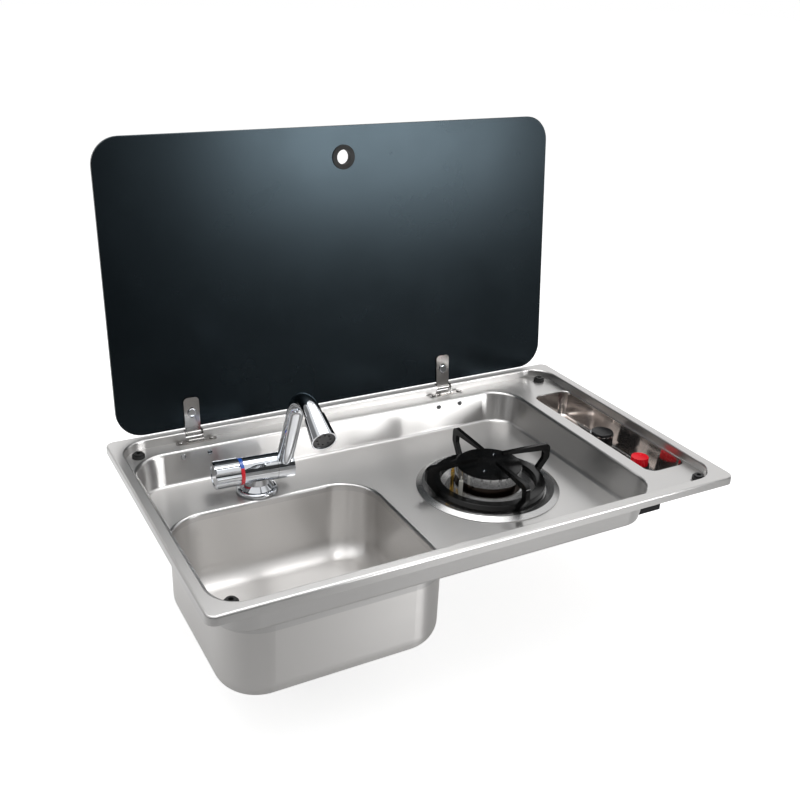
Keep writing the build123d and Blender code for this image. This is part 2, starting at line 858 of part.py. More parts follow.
# ================================================================ tap, fixed parts
tap_plane = Plane(origin=(tap_x, tap_y, 0))
with BuildPart() as tap_base:
    with BuildSketch(tap_plane.offset(tap_flange_z)):
        Circle(tap_flange_radius)
    extrude(amount=tap_flange_height)
    fillet(tap_base.edges().group_by(Axis.Z)[-1], tap_flange_round)
    with BuildSketch(tap_plane.offset(tap_flange_z)):
        Circle(tap_shank_radius)
    extrude(amount=tap_shank_end - tap_flange_z)
    with BuildSketch(tap_plane.offset(tap_flange_top)):
        Circle(tap_pivot_radius + running_gap)
    extrude(amount=-(tap_pivot_length + tap_pivot_floor), mode=Mode.SUBTRACT)
    with BuildSketch(tap_plane.offset(tap_shank_end)):
        with GridLocations(2 * tap_tail_offset, 0, 2, 1):
            Circle(tap_tail_radius)
    extrude(amount=tail_top - tap_shank_end, mode=Mode.SUBTRACT)
finish(tap_base.part, "tap_base")

with BuildPart() as tap_gasket:
    with BuildSketch(tap_plane.offset(deck_z)):
        tube(tap_gasket_radius, tap_shank_radius)
    extrude(amount=tap_gasket_height)
finish(tap_gasket.part, "tap_gasket")

with BuildPart() as tap_washer:
    with BuildSketch(tap_plane.offset(deck_under)):
        tube(tap_washer_radius, tap_shank_radius)
    extrude(amount=-tap_washer_height)
finish(tap_washer.part, "tap_washer")

with BuildPart() as tap_nut:
    with BuildSketch(tap_plane.offset(deck_under - tap_washer_height)):
        RegularPolygon(tap_nut_flats / 2, 6, major_radius=False)
        Circle(tap_shank_radius, mode=Mode.SUBTRACT)
    extrude(amount=-tap_nut_height)
finish(tap_nut.part, "tap_nut")

for tail_name, way in (("cold_inlet_tail", 1), ("hot_inlet_tail", -1)):
    with BuildPart() as tail:
        with BuildSketch(tap_plane.offset(tail_top)):
            with Locations((way * tap_tail_offset, 0)):
                tube(tap_tail_radius, tap_tail_bore)
        extrude(amount=-tap_tail_length)
        with BuildSketch(tap_plane.offset(tail_top - tap_tail_length)):
            with Locations((way * tap_tail_offset, 0)):
                tube(tap_tail_end_radius, tap_tail_bore)
        extrude(amount=tap_tail_end_length)
    finish(tail.part, tail_name)

# ================================================================ tap, turning parts
# Offsets along the barrel are measured from the swivel's axis to the right.
rest_turn = math.radians(tap_rest_turn)
barrel_across = (-math.sin(rest_turn), math.cos(rest_turn), 0)
barrel_plane = Plane(origin=(tap_x, tap_y, tap_axis_z), x_dir=barrel_across,
                     z_dir=(math.cos(rest_turn), math.sin(rest_turn), 0))
barrel_axis = Axis(barrel_plane.origin, barrel_plane.z_dir)
neck_bottom = tap_flange_top + side_gap
neck_top = tap_axis_z - tap_barrel_radius - tap_neck_step
with BuildPart() as tap_body:
    with BuildSketch(tap_plane.offset(neck_bottom)):
        Circle(tap_neck_radius)
    with BuildSketch(tap_plane.offset(neck_top)):
        Circle(tap_neck_top_radius)
    loft()
    with BuildSketch(tap_plane.offset(neck_top)):
        Circle(tap_neck_top_radius)
    extrude(amount=tap_barrel_radius / 2)
    with BuildSketch(tap_plane.offset(tap_pivot_z)):
        Circle(tap_pivot_radius)
    extrude(amount=neck_bottom - tap_pivot_z)
    with BuildSketch(barrel_plane.offset(-tap_body_left)):
        Circle(tap_barrel_radius)
    extrude(amount=tap_body_left + tap_body_right)
    with BuildSketch(barrel_plane.offset(-tap_body_left)):
        Circle(cartridge_radius)
    extrude(amount=cartridge_length, mode=Mode.SUBTRACT)
    with BuildSketch(barrel_plane.offset(tap_body_right)):
        Circle(spigot_radius + running_gap)
    extrude(amount=-(spigot_length + side_gap), mode=Mode.SUBTRACT)
    with BuildSketch(barrel_plane.offset(-tap_body_left)):
        Circle(cartridge_bore)
    extrude(amount=tap_body_left + tap_body_right, mode=Mode.SUBTRACT)
finish(tap_body.part, "tap_body")

with BuildPart() as cartridge:
    with BuildSketch(barrel_plane.offset(-tap_body_left)):
        tube(cartridge_radius, spindle_radius + running_gap)
    extrude(amount=cartridge_length)
finish(cartridge.part, "tap_cartridge")

ring_left = -(tap_body_left + tap_ring_width)
with BuildPart() as indicator_ring:
    with BuildSketch(barrel_plane.offset(ring_left)):
        tube(tap_barrel_radius, cartridge_bore)
    extrude(amount=tap_ring_width)
finish(indicator_ring.part, "indicator_ring")

handle_right = ring_left - side_gap
handle_left = handle_right - handle_length
with BuildPart() as tap_handle:
    with BuildSketch(barrel_plane.offset(handle_left)):
        Circle(handle_radius)
    extrude(amount=handle_length)
    chamfer(tap_handle.edges().group_by(barrel_axis)[0], handle_bevel)
    with BuildSketch(barrel_plane.offset(handle_left)):
        with PolarLocations(handle_radius + handle_flute_radius - handle_flute_depth,
                            handle_flutes):
            Circle(handle_flute_radius)
    extrude(amount=handle_length, mode=Mode.SUBTRACT)
    with BuildSketch(barrel_plane.offset(handle_left)):
        Circle(handle_cap_radius)
    extrude(amount=handle_cap_depth, mode=Mode.SUBTRACT)
    with BuildSketch(barrel_plane.offset(handle_right)):
        Circle(spindle_radius)
    extrude(amount=-spindle_reach, mode=Mode.SUBTRACT)
finish(tap_handle.part, "tap_handle")

with BuildPart() as handle_cap:
    with BuildSketch(barrel_plane.offset(handle_left + handle_cap_depth)):
        Circle(handle_cap_radius)
    extrude(amount=-handle_cap_height)
    fillet(handle_cap.edges().group_by(barrel_axis)[0], handle_cap_round)
finish(handle_cap.part, "handle_cap")

with BuildPart() as handle_spindle:
    with BuildSketch(barrel_plane.offset(handle_right - spindle_reach)):
        Circle(spindle_radius)
    extrude(amount=spindle_reach + side_gap + tap_ring_width + spindle_grip)
finish(handle_spindle.part, "handle_spindle")

# ================================================================ folding spout
sleeve_left = tap_body_right + side_gap
spout_plane = Plane(origin=barrel_plane.offset(sleeve_left + sleeve_length / 2).origin,
                    x_dir=barrel_across, z_dir=barrel_plane.z_dir)
rise = math.radians(90 + spout_lean)
fall = math.radians(180 + nozzle_dip)
bend_corner = (spout_height * math.cos(rise), spout_height * math.sin(rise))
mouth_point = (bend_corner[0] + nozzle_length * math.cos(fall),
               bend_corner[1] + nozzle_length * math.sin(fall))
mouth_plane = Plane(origin=spout_plane.from_local_coords(mouth_point),
                    x_dir=spout_plane.z_dir,
                    z_dir=(barrel_across[0] * math.cos(fall), barrel_across[1] * math.cos(fall),
                           math.sin(fall)))
joint_offset = -nozzle_head_length

with BuildPart() as spout_arm:
    with BuildLine(spout_plane) as spout_route:
        FilletPolyline((0, 0), bend_corner, mouth_point, radius=spout_bend_radius)
    with BuildSketch(Plane(origin=spout_route.line @ 0, z_dir=spout_route.line % 0)):
        Circle(spout_radius)
    sweep(path=spout_route.line)
    with BuildSketch(barrel_plane.offset(sleeve_left)):
        Circle(tap_barrel_radius)
    extrude(amount=sleeve_length)
    with BuildSketch(barrel_plane.offset(sleeve_left)):
        Circle(spigot_radius)
    extrude(amount=-(side_gap + spigot_length))
    with BuildSketch(mouth_plane.offset(joint_offset)):
        Circle(nozzle_mouth_radius)
    extrude(amount=2 * nozzle_head_length, mode=Mode.SUBTRACT)
finish(spout_arm.part, "spout_arm")

with BuildPart() as spout_nozzle:
    with BuildSketch(mouth_plane.offset(joint_offset)):
        Circle(nozzle_joint_radius)
    with BuildSketch(mouth_plane):
        Circle(nozzle_mouth_radius)
    loft()
    with BuildSketch(mouth_plane):
        Circle(nozzle_mouth_radius - nozzle_wall)
    extrude(amount=-(aerator_length + aerator_recess), mode=Mode.SUBTRACT)
finish(spout_nozzle.part, "spout_nozzle")

with BuildPart() as aerator:
    with BuildSketch(mouth_plane.offset(-aerator_recess)):
        Circle(nozzle_mouth_radius - nozzle_wall)
        with PolarLocations(aerator_circle, aerator_holes):
            Circle(aerator_hole_radius, mode=Mode.SUBTRACT)
    extrude(amount=-aerator_length)
finish(aerator.part, "aerator")

# ================================================================ waste
waste_plane = Plane(origin=(bowl_x, waste_y, 0))
with BuildPart() as strainer:
    with BuildSketch(waste_plane.offset(bowl_z)):
        tube(waste_flange_radius, waste_hole_radius - waste_wall)
    extrude(amount=waste_flange_height)
    with BuildSketch(waste_plane.offset(bowl_z)):
        tube(waste_hole_radius, waste_hole_radius - waste_wall)
    extrude(amount=-waste_strainer_drop)
    with BuildSketch(waste_plane.offset(bowl_z - waste_strainer_drop)):
        Circle(waste_hole_radius)
        Circle(waste_screw_radius, mode=Mode.SUBTRACT)
        with PolarLocations(waste_strainer_circle, waste_strainer_holes):
            Circle(waste_strainer_hole_radius, mode=Mode.SUBTRACT)
    extrude(amount=sheet)
finish(strainer.part, "waste_strainer")

with BuildPart() as waste_gasket:
    with BuildSketch(waste_plane.offset(waste_under)):
        tube(waste_flange_radius, waste_hole_radius)
    extrude(amount=-waste_gasket_height)
finish(waste_gasket.part, "waste_gasket")

with BuildPart() as waste_body:
    with BuildSketch(waste_plane.offset(waste_cup_top)):
        Circle(waste_flange_radius)
    extrude(amount=-waste_wall)
    with BuildSketch(waste_plane.offset(waste_cup_top)):
        Circle(waste_cup_radius)
    extrude(amount=-waste_cup_height)
    fillet(waste_body.edges().group_by(Axis.Z)[0], waste_cup_round)
    with BuildSketch(waste_plane.offset(waste_cup_top)):
        Circle(waste_hole_radius)
    extrude(amount=-(waste_cup_height - waste_wall), mode=Mode.SUBTRACT)
    with BuildSketch(waste_plane.offset(waste_cup_top - waste_cup_height)):
        Circle(waste_tail_radius)
    extrude(amount=-waste_tail_length)
    with BuildSketch(waste_plane.offset(waste_cup_top)):
        Circle(waste_tail_bore)
    extrude(amount=-(waste_cup_height + waste_tail_length), mode=Mode.SUBTRACT)
    # web across the outlet that the strainer's screw pulls on
    with BuildSketch(waste_plane.offset(waste_cup_top - waste_cup_height)):
        Rectangle(2 * waste_tail_bore, waste_web_width)
    extrude(amount=waste_wall)
    with BuildSketch(waste_plane.offset(waste_cup_top - waste_cup_height)):
        Circle(waste_screw_radius)
    extrude(amount=waste_wall, mode=Mode.SUBTRACT)
finish(waste_body.part, "waste_body")

strainer_face = bowl_z - waste_strainer_drop + sheet
with BuildPart() as waste_screw:
    with BuildSketch(waste_plane.offset(strainer_face)):
        Circle(waste_screw_head_radius)
    extrude(amount=waste_wall)
    fillet(waste_screw.edges().group_by(Axis.Z)[-1], waste_screw_round)
    with BuildSketch(waste_plane.offset(strainer_face)):
        Circle(waste_screw_radius)
    extrude(amount=waste_cup_top - waste_cup_height - strainer_face)
finish(waste_screw.part, "waste_screw")

# ================================================================ burner
burner_plane = Plane(origin=(burner_x, burner_y, 0))
burner_axis = Axis((burner_x, burner_y, 0), (0, 0, 1))
burner_section = Plane(origin=(burner_x, burner_y, 0), x_dir=(1, 0, 0), z_dir=(0, -1, 0))
probe_place = (probe_circle * math.cos(math.radians(probe_angle)),
               probe_circle * math.sin(math.radians(probe_angle)))
spark_place = (probe_circle * math.cos(math.radians(spark_angle)),
               probe_circle * math.sin(math.radians(spark_angle)))

with BuildPart() as drip_dish:
    with BuildSketch(burner_section):
        with BuildLine():
            Polyline((dish_radius, deck_z), (dish_radius, deck_z + sheet),
                     (dish_ridge_radius, deck_z + dish_ridge_height),
                     (dish_flat_outer, deck_z + dish_flat_height),
                     (dish_flat_inner, deck_z + dish_flat_height),
                     (dish_well_radius, dish_well_z), (dish_bore, dish_well_z),
                     (dish_bore, dish_well_under), (dish_well_radius + sheet / 2, dish_well_under),
                     (dish_flat_inner + sheet / 2, deck_z + dish_flat_height - sheet),
                     (dish_flat_outer, deck_z + dish_flat_height - sheet),
                     (dish_ridge_radius, deck_z + dish_ridge_height - sheet),
                     (dish_radius - sheet, deck_z), close=True)
        make_face()
    revolve(axis=burner_axis)
    with BuildSketch(burner_plane.offset(dish_well_z)):
        with Locations(probe_place):
            Circle(probe_radius)
        with Locations(spark_place):
            Circle(spark_radius)
    extrude(amount=-2 * sheet, mode=Mode.SUBTRACT)
finish(drip_dish.part, "drip_dish")

with BuildPart() as burner_base:
    with BuildSketch(burner_plane.offset(dish_well_under)):
        Circle(burner_flange_radius)
    extrude(amount=-burner_flange_height)
    with BuildSketch(burner_plane.offset(dish_well_under)):
        Circle(burner_collar_radius)
    extrude(amount=collar_top - dish_well_under)
    with BuildSketch(burner_plane.offset(collar_top)):
        Circle(burner_neck_radius)
    extrude(amount=crown_bottom - collar_top)
    with BuildSketch(burner_plane.offset(collar_top)):
        tube(burner_moat_radius, burner_neck_radius)
    extrude(amount=-burner_moat_depth, mode=Mode.SUBTRACT)
    with BuildSketch(burner_plane.offset(burner_flange_under)):
        Circle(burner_cup_radius)
    extrude(amount=-burner_cup_depth)
    with BuildSketch(Plane.YZ.offset(burner_x)):
        with Locations((burner_y, pipe_z)):
            Circle(venturi_radius)
    extrude(amount=venturi_reach)
    with BuildSketch(burner_plane.offset(crown_bottom)):
        Circle(burner_neck_bore)
    extrude(amount=cup_bottom + burner_cup_wall - crown_bottom, mode=Mode.SUBTRACT)
    with BuildSketch(Plane.YZ.offset(burner_x)):
        with Locations((burner_y, pipe_z)):
            Circle(venturi_bore)
    extrude(amount=venturi_reach, mode=Mode.SUBTRACT)
    with BuildSketch(burner_plane.offset(dish_well_under)):
        with Locations(probe_place):
            Circle(probe_radius)
        with Locations(spark_place):
            Circle(spark_radius)
    extrude(amount=-burner_flange_height, mode=Mode.SUBTRACT)
finish(burner_base.part, "burner_base")

with BuildPart() as burner_crown:
    with BuildSketch(burner_plane.offset(crown_bottom)):
        Circle(crown_radius)
    extrude(amount=crown_height)
    with BuildSketch(burner_plane.offset(crown_bottom)):
        Circle(burner_neck_bore)
    extrude(amount=-crown_skirt)
    with BuildSketch(burner_plane.offset(crown_top)):
        Circle(burner_neck_bore - crown_wall)
    extrude(amount=-(crown_height + crown_skirt), mode=Mode.SUBTRACT)
    with BuildSketch(burner_plane.offset(crown_top)):
        with PolarLocations(crown_radius, crown_ports):
            Rectangle(2 * crown_wall, crown_port_width)
    extrude(amount=-crown_port_height, mode=Mode.SUBTRACT)
finish(burner_crown.part, "burner_crown")

with BuildPart() as burner_cap:
    with BuildSketch(burner_section):
        with BuildLine():
            Line((0, crown_top), (cap_radius, crown_top))
            Line((cap_radius, crown_top), (cap_radius, cap_z - cap_crown))
            ThreePointArc((cap_radius, cap_z - cap_crown),
                          (cap_radius / 2, cap_z - cap_crown / 4), (0, cap_z))
            Line((0, cap_z), (0, crown_top))
        make_face()
    revolve(axis=burner_axis)
    with BuildSketch(burner_plane.offset(cap_z - cap_dimple_depth)):
        with PolarLocations(cap_dimple_reach, 2, start_angle=cap_dimple_turn):
            Circle(cap_dimple_radius)
    extrude(amount=cap_height, mode=Mode.SUBTRACT)
finish(burner_cap.part, "burner_cap")

with BuildPart() as cap_rivets:
    with BuildSketch(burner_plane.offset(cap_z - cap_dimple_depth)):
        with PolarLocations(cap_dimple_reach, 2, start_angle=cap_dimple_turn):
            Circle(cap_rivet_radius)
            Rectangle(2 * cap_rivet_radius, cap_rivet_slot, mode=Mode.SUBTRACT)
    extrude(amount=cap_rivet_height)
    with BuildSketch(burner_plane.offset(cap_z - cap_dimple_depth)):
        with PolarLocations(cap_dimple_reach, 2, start_angle=cap_dimple_turn):
            Circle(cap_rivet_radius)
    extrude(amount=cap_rivet_height / 2)
finish(cap_rivets.part, "cap_rivets")

# pan support: a ring held off the dish by four blades, each bent over towards the middle
with BuildPart() as trivet:
    with BuildSketch(burner_plane.offset(trivet_ring_z)):
        tube(trivet_ring_outer, trivet_ring_inner)
    extrude(amount=trivet_ring_height)
    chamfer(trivet.edges().group_by(Axis.Z)[-1], trivet_ring_bevel)
    for quarter in range(trivet_arms):
        along = math.radians(trivet_turn + quarter * 360 / trivet_arms)
        blade_plane = Plane(origin=burner_plane.origin,
                            x_dir=(math.cos(along), math.sin(along), 0),
                            z_dir=(math.sin(along), -math.cos(along), 0))
        with BuildSketch(blade_plane) as blade:
            inner_corner = (trivet_reach - trivet_leg_width, trivet_top - trivet_bar_height)
            with BuildLine():
                Polyline((trivet_foot_inner, trivet_foot_z), (trivet_foot_outer, trivet_foot_z),
                         (trivet_reach, trivet_top - trivet_knee_drop),
                         (trivet_reach, trivet_top), (trivet_tip_radius, trivet_top),
                         (trivet_tip_radius, trivet_top - trivet_tip_height), inner_corner,
                         (trivet_reach - trivet_leg_width, trivet_top - trivet_knee_drop),
                         close=True)
            make_face()
            fillet(blade.vertices().group_by(Axis.X)[-1], trivet_outer_bend)
            fillet(blade.vertices().sort_by_distance((*inner_corner, 0))[0], trivet_inner_bend)
        extrude(amount=trivet_blade / 2, both=True)
finish(trivet.part, "trivet")

with BuildPart() as thermocouple:
    with BuildSketch(Plane(origin=(burner_x + probe_place[0], burner_y + probe_place[1],
                                   burner_flange_under - probe_depth))):
        Circle(probe_radius)
    extrude(amount=probe_top - probe_tip_length - (burner_flange_under - probe_depth))
    with BuildSketch(Plane(origin=(burner_x + probe_place[0], burner_y + probe_place[1],
                                   probe_top - probe_tip_length))):
        Circle(probe_tip_radius)
    extrude(amount=probe_tip_length)
finish(thermocouple.part, "thermocouple")

with BuildPart() as spark_electrode:
    with BuildSketch(Plane(origin=(burner_x + spark_place[0], burner_y + spark_place[1],
                                   burner_flange_under - probe_depth))):
        Circle(spark_radius)
    extrude(amount=spark_top - (burner_flange_under - probe_depth))
    with BuildSketch(Plane(origin=(burner_x + spark_place[0], burner_y + spark_place[1],
                                   spark_top))):
        Circle(spark_wire_radius)
    extrude(amount=spark_wire_length)
finish(spark_electrode.part, "spark_electrode")

# ================================================================ injector and pipes
with BuildPart() as injector_holder:
    with BuildSketch(Plane.XY.offset(cup_bottom)):
        with Locations((burner_x, burner_y)):
            Rectangle(holder_x - burner_x + hinge_sheet, holder_width,
                      align=(Align.MIN, Align.CENTER))
    extrude(amount=-hinge_sheet)
    with BuildSketch(Plane.YZ.offset(holder_x)):
        with Locations((burner_y, cup_bottom - hinge_sheet)):
            Rectangle(holder_width, pipe_z - cup_bottom + hinge_sheet + holder_width / 2,
                      align=(Align.CENTER, Align.MIN))
        with Locations((burner_y, pipe_z)):
            Circle(injector_radius, mode=Mode.SUBTRACT)
    extrude(amount=hinge_sheet)
finish(injector_holder.part, "injector_holder")

with BuildPart() as injector:
    with BuildSketch(Plane.YZ.offset(injector_x)):
        with Locations((burner_y, pipe_z)):
            Circle(injector_radius)
            Circle(injector_bore, mode=Mode.SUBTRACT)
    extrude(amount=injector_length + hinge_sheet)
finish(injector.part, "injector")

pipe_start = holder_x + hinge_sheet
with BuildPart() as burner_pipe:
    with BuildSketch(Plane.YZ.offset(pipe_start)):
        with Locations((burner_y, pipe_z)):
            tube(burner_pipe_radius, burner_pipe_bore)
    extrude(amount=valve_left - pipe_start)
finish(burner_pipe.part, "burner_pipe")

with BuildPart() as pipe_nuts:
    for start, way in ((pipe_start, 1), (valve_left, -1)):
        with BuildSketch(Plane.YZ.offset(start)):
            with Locations((burner_y, pipe_z)):
                RegularPolygon(pipe_nut_flats / 2, 6, major_radius=False)
                Circle(burner_pipe_radius, mode=Mode.SUBTRACT)
        extrude(amount=way * pipe_nut_length)
    with BuildSketch(Plane.XZ.offset(-(valve_y + valve_back))):
        with Locations((valve_x, pipe_z)):
            RegularPolygon(pipe_nut_flats / 2, 6, major_radius=False)
            Circle(feed_pipe_end_radius, mode=Mode.SUBTRACT)
    extrude(amount=-pipe_nut_length)
finish(pipe_nuts.part, "pipe_nuts")

with BuildPart() as feed_pipe:
    with BuildSketch(Plane.XZ.offset(-(valve_y + valve_back))):
        with Locations((valve_x, pipe_z)):
            tube(feed_pipe_end_radius, feed_pipe_bore)
    extrude(amount=-pipe_nut_length)
    with BuildSketch(Plane.XZ.offset(-(valve_y + valve_back + pipe_nut_length))):
        with Locations((valve_x, pipe_z)):
            tube(feed_pipe_radius, feed_pipe_bore)
    extrude(amount=-feed_pipe_length)
finish(feed_pipe.part, "gas_feed_pipe")

# ================================================================ gas valve and knob
valve_plane = Plane(origin=(valve_x, valve_y, 0))
plug_top = valve_bottom + plug_floor + plug_height
with BuildPart() as gas_valve:
    with BuildSketch(Plane.XY.offset(valve_bottom)):
        with Locations((valve_x, valve_y - valve_front)):
            RectangleRounded(valve_width, valve_front + valve_back, valve_corner,
                             align=(Align.CENTER, Align.MIN))
    extrude(amount=valve_height)
    with BuildSketch(valve_plane.offset(valve_top)):
        Circle(valve_shoulder_radius)
    extrude(amount=valve_gap)
    with BuildSketch(valve_plane.offset(valve_top)):
        Circle(valve_neck_radius)
    extrude(amount=valve_neck_top - valve_top)
    with BuildSketch(valve_plane.offset(valve_bottom + plug_floor)):
        Circle(plug_radius + running_gap)
    extrude(amount=plug_height + side_gap, mode=Mode.SUBTRACT)
    with BuildSketch(valve_plane.offset(valve_bottom + plug_floor)):
        Circle(valve_neck_bore + running_gap)
    extrude(amount=valve_neck_top - valve_bottom, mode=Mode.SUBTRACT)
finish(gas_valve.part, "gas_valve")

with BuildPart() as gas_plug:
    with BuildSketch(valve_plane.offset(valve_bottom + plug_floor)):
        tube(plug_radius, valve_neck_bore + running_gap)
    extrude(amount=plug_height)
finish(gas_plug.part, "gas_plug")

with BuildPart() as knob_bezel:
    with BuildSketch(valve_plane.offset(trough_z)):
        tube(bezel_radius, valve_neck_radius)
    extrude(amount=bezel_height)
finish(knob_bezel.part, "knob_bezel")

knob_bottom = knob_top - knob_height
with BuildPart() as gas_spindle:
    with BuildSketch(valve_plane.offset(knob_top - knob_crown)):
        Circle(valve_neck_bore)
    extrude(amount=-gas_spindle_length)
finish(gas_spindle.part, "gas_spindle")

ring_top = knob_top - knob_ring_down
with BuildPart() as gas_knob:
    with BuildSketch(valve_plane.offset(knob_bottom)):
        Circle(knob_radius)
    with BuildSketch(valve_plane.offset(knob_top)):
        Circle(knob_top_radius)
    loft()
    fillet(gas_knob.edges().group_by(Axis.Z)[-1], knob_top_round)
    with BuildSketch(valve_plane.offset(knob_bottom)):
        Circle(knob_skirt_bore)
    extrude(amount=knob_skirt_depth, mode=Mode.SUBTRACT)
    with BuildSketch(valve_plane.offset(knob_bottom)):
        Circle(valve_neck_bore)
    extrude(amount=knob_height - knob_crown, mode=Mode.SUBTRACT)
    with BuildSketch(valve_plane.offset(ring_top)):
        tube(knob_ring_radius, knob_ring_inner)
    extrude(amount=-knob_ring_height, mode=Mode.SUBTRACT)
finish(gas_knob.part, "gas_knob")

with BuildPart() as knob_ring:
    with BuildSketch(valve_plane.offset(ring_top)):
        tube(knob_ring_radius, knob_ring_inner)
    extrude(amount=-knob_ring_height)
finish(knob_ring.part, "knob_ring")

# ================================================================ ignition
igniter_plane = Plane(origin=(valve_x, igniter_y, 0))
with BuildPart() as igniter_collar:
    with BuildSketch(igniter_plane.offset(trough_z)):
        Circle(igniter_collar_radius)
    extrude(amount=igniter_collar_height)
    with BuildSketch(igniter_plane.offset(trough_z)):
        Circle(igniter_barrel_radius)
    extrude(amount=-(sheet + igniter_barrel_length))
    with BuildSketch(igniter_plane.offset(trough_z + igniter_well_floor)):
        Circle(igniter_cap_radius + igniter_wall_gap)
    extrude(amount=igniter_collar_height, mode=Mode.SUBTRACT)
    with BuildSketch(igniter_plane.offset(trough_z + igniter_well_floor)):
        Circle(igniter_stem_radius + running_gap)
    extrude(amount=-(igniter_stem_length + igniter_stem_room), mode=Mode.SUBTRACT)
finish(igniter_collar.part, "igniter_collar")

cap_bottom = igniter_cap_top - igniter_cap_height
with BuildPart() as igniter_button:
    with BuildSketch(igniter_plane.offset(cap_bottom)):
        Circle(igniter_cap_radius)
        with PolarLocations(igniter_cap_radius + igniter_flute_radius - igniter_flute_depth,
                            igniter_cap_flutes):
            Circle(igniter_flute_radius, mode=Mode.SUBTRACT)
    extrude(amount=igniter_cap_height)
    with BuildSketch(igniter_plane.offset(cap_bottom)):
        Circle(igniter_stem_radius)
    extrude(amount=-igniter_stem_length)
finish(igniter_button.part, "igniter_button")

with BuildPart() as button_spring:
    with BuildSketch(igniter_plane.offset(trough_z + igniter_well_floor)):
        tube(igniter_spring_outer, igniter_spring_inner)
    extrude(amount=cap_bottom - trough_z - igniter_well_floor)
finish(button_spring.part, "button_spring")

with BuildPart() as igniter_box:
    with BuildSketch(Plane.XY.offset(trough_under)):
        with Locations((trough_x - igniter_box_left_of_trough, trough_front)):
            Rectangle(igniter_box_width, igniter_box_depth, align=(Align.CENTER, Align.MIN))
    extrude(amount=-igniter_box_height)
    fillet(igniter_box.edges().filter_by(Axis.Z), igniter_box_round)
finish(igniter_box.part, "igniter_box")
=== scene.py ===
import json
import math

import bmesh
import bpy
from mathutils import Matrix, Vector


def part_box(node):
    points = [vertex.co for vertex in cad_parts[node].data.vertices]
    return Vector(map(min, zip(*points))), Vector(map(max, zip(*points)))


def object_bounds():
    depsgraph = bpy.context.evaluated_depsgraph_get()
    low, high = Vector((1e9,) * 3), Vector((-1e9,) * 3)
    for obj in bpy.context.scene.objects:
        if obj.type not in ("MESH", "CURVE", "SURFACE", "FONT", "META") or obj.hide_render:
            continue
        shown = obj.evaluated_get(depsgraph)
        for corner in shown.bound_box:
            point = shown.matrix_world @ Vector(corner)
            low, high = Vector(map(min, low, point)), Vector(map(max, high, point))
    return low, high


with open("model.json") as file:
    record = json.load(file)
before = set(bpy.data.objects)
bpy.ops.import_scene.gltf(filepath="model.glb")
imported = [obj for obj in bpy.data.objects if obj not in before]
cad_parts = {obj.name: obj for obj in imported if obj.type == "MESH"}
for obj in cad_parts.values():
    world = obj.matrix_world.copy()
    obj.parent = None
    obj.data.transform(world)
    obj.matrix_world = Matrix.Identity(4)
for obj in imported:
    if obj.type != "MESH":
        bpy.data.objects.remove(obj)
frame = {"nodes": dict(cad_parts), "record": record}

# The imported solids' box, kept from straight after loading.
cad_low, cad_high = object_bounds()
nodes = frame["nodes"]
scene = bpy.context.scene
scene.view_settings.view_transform = "Standard"

# ---------------------------------------------------------------- camera
# A pinhole camera fitted to the photograph, in metres and in the part's own frame.
camera_place = Vector((-0.5045, -0.8584, 0.5252))
camera_right = Vector((0.87915, -0.47517, 0.03610))
camera_down = Vector((-0.15364, -0.35433, -0.92241))
camera_ahead = Vector((0.45109, 0.80540, -0.38451))
focal_pixels = 1010.9
picture_side = 800
principal_x = 402.1
principal_y = 374.0

camera_data = bpy.data.cameras.new("camera")
camera_data.sensor_width = 36.0
camera_data.lens = camera_data.sensor_width * focal_pixels / picture_side
camera_data.shift_x = (picture_side / 2 - principal_x) / picture_side
camera_data.shift_y = (principal_y - picture_side / 2) / picture_side
camera_data.clip_start = 0.01
camera_data.clip_end = 50.0
camera = bpy.data.objects.new("camera", camera_data)
scene.collection.objects.link(camera)
turn = Matrix((camera_right, -camera_down, -camera_ahead)).transposed()
camera.matrix_world = Matrix.Translation(camera_place) @ turn.to_4x4()
scene.camera = camera


